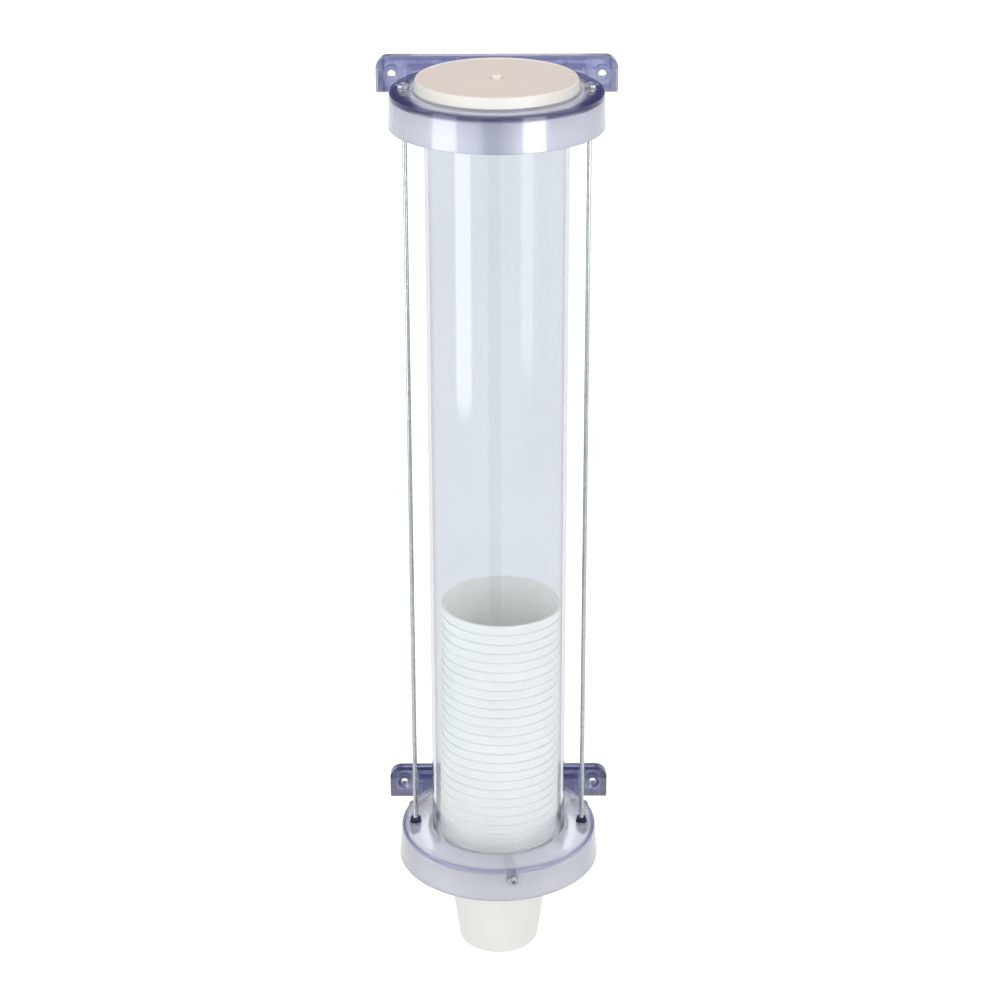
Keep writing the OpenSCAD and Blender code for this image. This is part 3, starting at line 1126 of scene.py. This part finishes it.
@dataclass
class CupGrips:
    """Three adjusting screws, their inserts and the soft tips under the lowest cup's rim."""

    azimuths: tuple[float, ...] = (8.0, 118.0, 242.0)
    height: float = -227.5
    thread: Thread = Thread(major=1.48, depth=0.25, bevel=0.4)
    thread_radius: float = 1.5
    head_radius: float = 3.0
    head_height: float = 2.2
    head_ease: float = 0.1
    dome_steps: int = 6
    recess_across: float = 2.0
    recess_depth: float = 1.2
    insert_radius: float = 2.3
    insert_rows: int = 28
    insert_play: float = 0.06
    insert_chamfer: float = 0.2
    groove_depth: float = 0.28
    knurl_depth: float = 0.16
    knurl_count: int = 9
    knurl_slope: float = 2.2
    knurl_steps: int = 72
    tip_radius: float = 2.0
    rib_depth: float = 0.12
    socket_play: float = 0.1
    socket_depth: float = 3.25
    steps: int = 48

    def screw(self, length: float) -> list[Ring]:
        """A screw with its point at 0 and a domed head at the far end.

        Args:
            length: From the point to the top of the head.

        Returns:
            Its rings.
        """
        seat = length - self.head_height
        half = self.head_height / 2
        crown = self.head_radius - half
        recess = hexagon(self.recess_across)
        profile = [
            (self.thread_radius, seat),
            (self.head_radius - self.head_ease, seat),
            (self.head_radius, seat + self.head_ease),
        ]
        for part in range(self.dome_steps + 1):
            turn = math.pi / 2 * part / self.dome_steps
            profile.append((crown + half * math.cos(turn), seat + half * (1 + math.sin(turn))))
        profile += [
            (self.recess_across * 0.66, length),
            (lambda angle: recess(angle) * 1.04, length - 0.04),
            (recess, length - 0.16),
            (recess, length - self.recess_depth),
        ]
        return self.thread.rings(0.0, seat, self.steps) + turned(profile, self.steps)

    def insert(self, length: float) -> list[Ring]:
        """A knurled insert with a groove round its middle.

        Args:
            length: Its length.

        Returns:
            Its rings.
        """
        rings: list[Ring] = []
        for row in range(self.insert_rows + 1):
            share = row / self.insert_rows
            z = length * share
            grooved = 0.43 < share < 0.57 or share < 0.06 or share > 0.94

            def radius(angle: float, z: float = z, grooved: bool = grooved) -> float:
                """Radius of the knurl at one angle of this ring."""
                if grooved:
                    return self.insert_radius - self.groove_depth
                around, along = angle * self.knurl_count, z * self.knurl_slope
                tooth = abs(math.sin(around + along)) * abs(math.sin(around - along))
                return self.insert_radius - 0.02 - self.knurl_depth * (1 - tooth)

            rings.append(circle(radius, z, self.knurl_steps))
        bore = self.thread_radius + self.insert_play
        ease = self.insert_chamfer
        profile = ((bore + ease, length), (bore, length - ease), (bore, ease), (bore + ease, 0.0))
        return rings + turned(profile, self.knurl_steps)

    def tip(self, length: float) -> list[Ring]:
        """A soft tip with a rounded nose at 0, two sealing ribs and a socket for the screw.

        Args:
            length: Its length.

        Returns:
            Its rings.
        """
        r = self.tip_radius
        waist = r - self.rib_depth
        bore = self.thread_radius + self.socket_play
        floor = length - self.socket_depth
        profile = (
            (0.6, 0.0), (1.1, 0.08), (1.55, 0.3), (1.85, 0.65), (r, 1.1),
            (r, 1.5), (waist, 1.7), (waist, 2.2), (r, 2.4),
            (r, 2.9), (waist, 3.1), (waist, 3.7), (r, 3.9),
            (r, length - 0.3), (r - 0.3, length), (bore + 0.02, length), (bore, floor), (0.5, floor - 0.1),
        )
        return turned(profile, self.steps)

    def build(self, nodes: Nodes, finishes: Finishes) -> None:
        """Make every grip in place of its solids.

        Args:
            nodes: The solids by name.
            finishes: The materials.
        """
        for number, azimuth in enumerate(self.azimuths, 1):
            for kind, maker, body, slot, finish in (
                ("grip_screw", self.screw, f"screw_{number}", "bright_hardware", "grey_zinc"),
                ("thread_insert", self.insert, "root", "insert_brass", "turned_brass"),
                ("grip_tip", self.tip, f"tip_{number}", "tip_rubber", "soft_tip"),
            ):
                node = f"{kind}_{number}"
                start, end = radial_span(nodes[node], azimuth)
                mesh = build_mesh(f"{node}_detailed", maker(end - start), closed=kind == "thread_insert")
                spot = radial(azimuth, start, self.height)
                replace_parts(place(mesh, spot, body, finishes.get(finish)), node)


# The set


@dataclass(frozen=True)
class Softbox:
    """A soft panel of light that stands round the object."""

    name: str
    azimuth: float
    low_z: float
    high_z: float
    width: float
    radiance: float
    distance: float = 1.25
    role: Role = Role.GLEAM

    @staticmethod
    def _hide_straight_through(light: bpy.types.Light) -> None:
        """Leave the panel to mirrors, so that it isn't seen straight through the tube from behind.

        Args:
            light: The lamp that gets the nodes.
        """
        light.use_nodes = True
        board = Wiring(light.node_tree)
        emission = next(node for node in board.tree.nodes if node.type == "EMISSION")
        rays = board.node("LightPath").outputs
        bounced = board.math("ADD", rays["Glossy Depth"], rays["Diffuse Depth"])
        straight = board.math("LESS_THAN", bounced, FIRST_BOUNCE)
        hidden = board.product(board.math("MINIMUM", rays["Transmission Depth"], 1.0), straight)
        board.fill_named(emission, {"Strength": board.math("SUBTRACT", 1.0, hidden)})

    def build(self) -> None:
        """Stand the panel so that it faces the tube."""
        turn = math.radians(self.azimuth)
        target = Vector((0.0, AXIS_Y * MM, (self.low_z + self.high_z) / 2))
        light = bpy.data.lights.new(self.name, "AREA")
        light.shape = "RECTANGLE"
        light.size = self.width
        light.size_y = self.high_z - self.low_z
        light.energy = self.radiance * math.pi * light.size * light.size_y
        panel = add_object(self.name, light)
        panel.location = target + Vector((math.sin(turn), -math.cos(turn), 0.0)) * self.distance
        panel.rotation_euler = (target - panel.location).to_track_quat("-Z", "Y").to_euler()
        gleams = self.role is Role.GLEAM
        panel.visible_camera = False
        panel.visible_diffuse = not gleams
        panel.visible_glossy = gleams
        panel.visible_transmission = gleams
        if gleams:
            self._hide_straight_through(light)
        log.info("panel %s", self.name)


def sheet(name: str, corners: Sequence[tuple[float, float, float]], material: Material) -> Object:
    """One flat face of the set.

    Args:
        name: Name of the mesh and the object.
        corners: Its four corners in order, in metres.
        material: Its material.

    Returns:
        The new object.
    """
    mesh = bpy.data.meshes.new(name)
    mesh.from_pydata(corners, [], [(0, 1, 2, 3)])
    mesh.materials.append(material)
    return add_object(name, mesh)


# Corners of a sheet, counted in halves of its width and height from its middle.
CORNERS = ((-1, -1), (1, -1), (1, 1), (-1, 1))


@dataclass(frozen=True)
class Flag:
    """A dark card that only reflections see, as a studio hangs round clear plastic."""

    name: str
    middle: tuple[float, float, float]
    width: float
    height: float
    tone: Colour = srgb(96, 98, 140)

    def build(self) -> None:
        """Hang the card upright, across the view."""
        x, y, z = self.middle
        corners = [(x + a * self.width / 2, y, z + b * self.height / 2) for a, b in CORNERS]
        material = empty_material(self.name)
        board = Wiring(material.node_tree)
        board.node("OutputMaterial", board.node("Emission", Color=self.tone).outputs[0])
        card = sheet(self.name, corners, material)
        card.visible_camera = False
        card.visible_diffuse = False
        card.visible_transmission = False
        card.visible_volume_scatter = False
        card.visible_shadow = False
        log.info("card %s", self.name)


@dataclass
class Studio:
    """Camera, floor, world and lamps."""

    lens: float = 94.03
    sensor: float = 36.0
    clip: Span = (0.05, 60.0)
    pitch: float = 23.392
    roll: float = -0.11
    eye: tuple[float, float, float] = (0.00128, -1.45226, 0.59235)
    sky: float = 0.9
    inner_sky: float = 2.6
    floor_z: float = -0.62
    floor_half: float = 14.0
    floor_tone: Colour = (0.8, 0.8, 0.8)
    floor_lift: float = 0.45
    inner_floor: float = 1.9
    panels: tuple[Softbox, ...] = (
        Softbox("left_panel", azimuth=-56.0, low_z=-0.42, high_z=1.1, width=0.62, radiance=3.0),
        Softbox("right_panel", azimuth=39.0, low_z=-0.12, high_z=1.1, width=0.55, radiance=5.0),
        Softbox(
            "front_panel", azimuth=0.0, low_z=-0.1, high_z=1.5, width=2.2, radiance=1.6,
            distance=2.3, role=Role.FILL,
        ),
    )
    flags: tuple[Flag, ...] = (
        Flag("left_card", middle=(-0.9, 1.5, 1.1), width=1.6, height=1.4),
        Flag("right_card", middle=(0.9, 1.5, 1.1), width=1.6, height=1.4),
        Flag("top_card", middle=(0.0, 1.5, 1.4), width=0.2, height=1.0),
        Flag("strip_card", middle=(-0.07, -0.95, -0.2), width=0.3, height=0.56, tone=srgb(40, 50, 70)),
    )

    def camera(self) -> None:
        """Set the camera where the photograph was taken from."""
        data = bpy.data.cameras.new("front_camera")
        data.lens = self.lens
        data.sensor_width = self.sensor
        data.clip_start, data.clip_end = self.clip
        eye = add_object("front_camera", data)
        tilt = Matrix.Rotation(math.radians(90 - self.pitch), 4, "X")
        roll = Matrix.Rotation(math.radians(self.roll), 4, "Z")
        eye.matrix_world = Matrix.Translation(self.eye) @ tilt @ roll
        bpy.context.scene.camera = eye

    @staticmethod
    def _rays(board: Wiring, outside: float, within: float) -> tuple[Socket, Socket]:
        """Tell rays that look at the set from rays that light a surface.

        Args:
            board: Wiring of the tree that gets the nodes.
            outside: Strength for rays that light a surface in the open.
            within: Strength for rays that light a surface inside the clear tube.

        Returns:
            A socket that is 1 for rays that look straight, in a reflection or through
            glass, and one with the strength for the others.
        """
        rays = board.node("LightPath").outputs
        through = rays["Is Transmission Ray"]
        outer = board.math("MAXIMUM", rays["Is Camera Ray"], rays["Is Glossy Ray"])
        looking = board.math("MAXIMUM", outer, through)
        seen = board.product(looking, board.math("LESS_THAN", rays["Diffuse Depth"], FIRST_BOUNCE))
        strength = board.math("ADD", board.product(through, within - outside), outside)
        return seen, strength

    def world(self) -> None:
        """White where it is seen, softer where it lights."""
        world = bpy.data.worlds.new("studio_white")
        world.use_nodes = True
        board = Wiring(world.node_tree)
        board.tree.nodes.clear()
        looked_at, strength = self._rays(board, self.sky, self.inner_sky)
        lit = board.node("Background", Color=WHITE, Strength=strength)
        seen = board.node("Background", Color=WHITE, Strength=1.0)
        mix = board.node("MixShader", looked_at, lit.outputs[0], seen.outputs[0])
        board.node("OutputWorld", mix.outputs[0])
        bpy.context.scene.world = world

    def floor(self) -> None:
        """A pale floor that is white where it is seen and keeps a soft shadow."""
        material = empty_material("floor_white")
        board = Wiring(material.node_tree)
        looked_at, strength = self._rays(board, 0.0, self.inner_floor)
        paint = board.node("BsdfDiffuse", Color=self.floor_tone).outputs[0]
        lift = board.node("Emission", Strength=self.floor_lift)
        glow = board.node("Emission", Strength=strength)
        seen = board.node("AddShader", paint, lift.outputs[0])
        lit = board.node("AddShader", paint, glow.outputs[0])
        mix = board.node("MixShader", looked_at, lit.outputs[0], seen.outputs[0])
        board.node("OutputMaterial", mix.outputs[0])
        corners = [(a * self.floor_half, b * self.floor_half, self.floor_z) for a, b in CORNERS]
        ground = sheet("floor", corners, material)

    def build(self) -> None:
        """Make the whole set."""
        self.camera()
        self.world()
        self.floor()
        for prop in (*self.panels, *self.flags):
            prop.build()
        bpy.context.scene.view_settings.view_transform = "Standard"


def main() -> None:
    """Load the solids, finish them, add the fine pieces and light the set."""
    logging.basicConfig(level=logging.INFO, format="%(name)s: %(message)s")
    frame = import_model()
    nodes: Nodes = frame["nodes"]
    finishes = Finishes()
    finishes.build()
    Studio().build()
    Shell().dress(nodes, finishes)
    CupColumn().dress(nodes, finishes)
    TieRods().build(finishes)
    RodFasteners().build(finishes)
    CupGrips().build(nodes, finishes)


if __name__ == "__main__":
    main()
